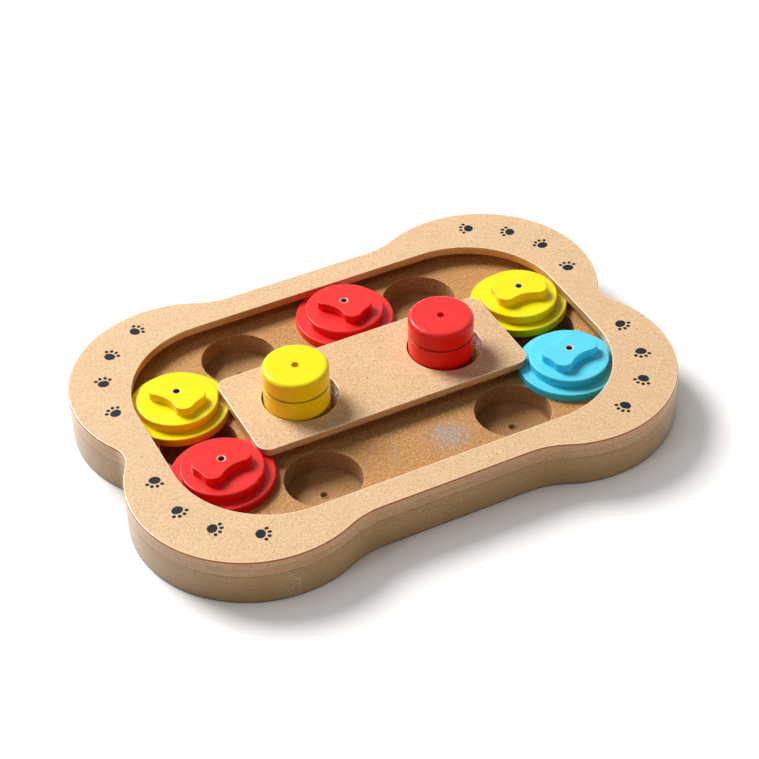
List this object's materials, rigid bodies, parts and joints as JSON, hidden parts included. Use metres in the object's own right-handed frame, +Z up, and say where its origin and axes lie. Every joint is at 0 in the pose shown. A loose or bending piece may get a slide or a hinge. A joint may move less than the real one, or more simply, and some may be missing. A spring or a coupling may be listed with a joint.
{
  "type": "dog puzzle feeder toy",
  "caption": "Bone-shaped layered board with a ring track; knobbed round sliders and lift-out pegs cover hidden treat wells for a dog to find.",
  "frame": {"origin": "middle of the underside, on the table", "axes": "+X along the board, +Y across it to the side with the single slider, +Z up"},
  "size_m": [0.3, 0.205, 0.0498],
  "materials": {
    "top_layer": "smooth fibreboard, satin clear coat",
    "middle_layer": "cut fibreboard edge and face",
    "base_layer": "fibreboard, smooth track, rougher cut well walls",
    "yellow_paint": "semi-gloss yellow paint on fibreboard",
    "red_paint": "semi-gloss red paint on fibreboard",
    "blue_paint": "semi-gloss light blue paint on fibreboard"
  },
  "bodies": {
    "board": {"base_board": "base_layer", "spacer_frame": "middle_layer", "cover_frame": "top_layer", "spacer_bar": "middle_layer", "centre_plate": "top_layer"},
    "yellow_left_slider": {"yellow_left_flange": "yellow_paint"},
    "yellow_left_grip": {"yellow_left_disc": "yellow_paint", "yellow_left_knob": "yellow_paint"},
    "red_left_slider": {"red_left_flange": "red_paint"},
    "red_left_grip": {"red_left_disc": "red_paint", "red_left_knob": "red_paint"},
    "red_far_slider": {"red_far_flange": "red_paint"},
    "red_far_grip": {"red_far_disc": "red_paint", "red_far_knob": "red_paint"},
    "yellow_right_slider": {"yellow_right_flange": "yellow_paint"},
    "yellow_right_grip": {"yellow_right_disc": "yellow_paint", "yellow_right_knob": "yellow_paint"},
    "blue_right_slider": {"blue_right_flange": "blue_paint"},
    "blue_right_grip": {"blue_right_disc": "blue_paint", "blue_right_knob": "blue_paint"},
    "yellow_peg": {"yellow_peg": "yellow_paint"},
    "red_peg": {"red_peg": "red_paint"}
  },
  "joints": [
    {"name": "yellow_left_travel", "type": "hinge", "parent": "board", "child": "yellow_left_slider", "pos_m": [-0.069, 0.02425, 0.018], "axis": [0, 0, 1], "range_deg": [-43, 3]},
    {"name": "yellow_left_turn", "type": "hinge", "parent": "yellow_left_slider", "child": "yellow_left_grip", "pos_m": [-0.09871, 0.0276, 0.0225], "axis": [0, 0, 1], "continuous": true},
    {"name": "red_left_travel", "type": "hinge", "parent": "board", "child": "red_left_slider", "pos_m": [-0.069, -0.02425, 0.018], "axis": [0, 0, 1], "range_deg": [-3.8, 79]},
    {"name": "red_left_turn", "type": "hinge", "parent": "red_left_slider", "child": "red_left_grip", "pos_m": [-0.0984, -0.0297, 0.0225], "axis": [0, 0, 1], "continuous": true},
    {"name": "red_far_travel", "type": "slide", "parent": "board", "child": "red_far_slider", "axis": [1, 0, 0], "range_m": [-0.044, 0.0175]},
    {"name": "red_far_turn", "type": "hinge", "parent": "red_far_slider", "child": "red_far_grip", "pos_m": [0.0096, 0.05415, 0.0225], "axis": [0, 0, 1], "continuous": true},
    {"name": "yellow_right_travel", "type": "hinge", "parent": "board", "child": "yellow_right_slider", "pos_m": [0.069, 0.02425, 0.018], "axis": [0, 0, 1], "range_deg": [-1.8, 72]},
    {"name": "yellow_right_turn", "type": "hinge", "parent": "yellow_right_slider", "child": "yellow_right_grip", "pos_m": [0.0989, 0.0208, 0.0225], "axis": [0, 0, 1], "continuous": true},
    {"name": "blue_right_travel", "type": "hinge", "parent": "board", "child": "blue_right_slider", "pos_m": [0.069, -0.02425, 0.018], "axis": [0, 0, 1], "range_deg": [-62, 4.5]},
    {"name": "blue_right_turn", "type": "hinge", "parent": "blue_right_slider", "child": "blue_right_grip", "pos_m": [0.096, -0.0371, 0.0225], "axis": [0, 0, 1], "continuous": true},
    {"name": "yellow_peg_lift", "type": "slide", "parent": "board", "child": "yellow_peg", "axis": [0, 0, 1], "range_m": [0, 0.035]},
    {"name": "red_peg_lift", "type": "slide", "parent": "board", "child": "red_peg", "axis": [0, 0, 1], "range_m": [0, 0.035]}
  ]
}
